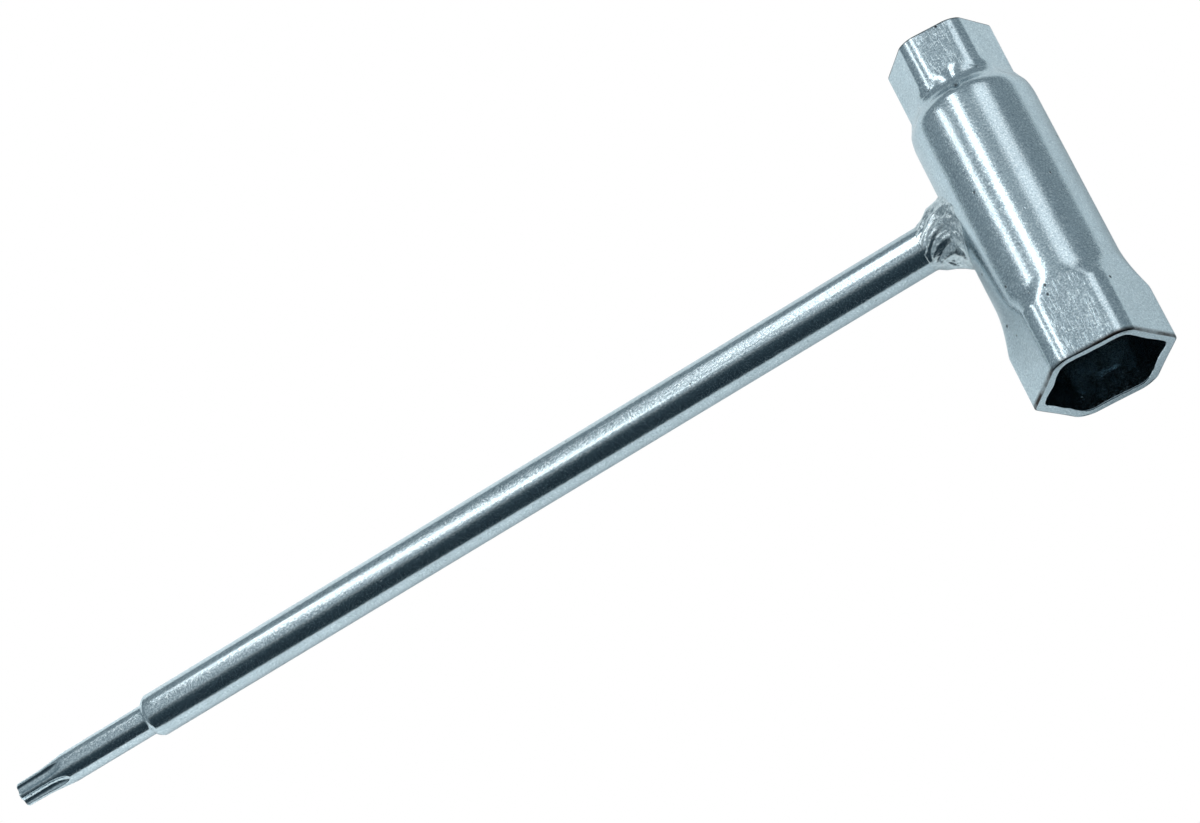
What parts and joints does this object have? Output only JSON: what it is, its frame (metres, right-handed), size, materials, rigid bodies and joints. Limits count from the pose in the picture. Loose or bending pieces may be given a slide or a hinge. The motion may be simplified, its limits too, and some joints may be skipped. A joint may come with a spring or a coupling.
{
  "type": "combination wrench",
  "caption": "T-shaped combination wrench: a zinc plated tube with a hex socket in each end, welded across a round bar with a six-lobe driver tip.",
  "frame": {"origin": "centre of the 19 mm socket's mouth, on the tube's axis", "axes": "+Y along the tube from the 19 mm mouth to the 13 mm end, -X along the bar towards the driver tip, +Z square to both, up as the wrench lies flat on its side"},
  "size_m": [0.2166, 0.0679, 0.0236],
  "materials": {
    "zinc_plated_tube": "bright zinc plated, satin with fine scratches and pits",
    "zinc_plated_bar": "bright zinc plated, drawn bar",
    "weld_metal": "rippled weld, bright zinc plated"
  },
  "bodies": {
    "root": {"socket_tube": "zinc_plated_tube", "driver_bar": "zinc_plated_bar", "weld_bead": "weld_metal"}
  },
  "joints": []
}
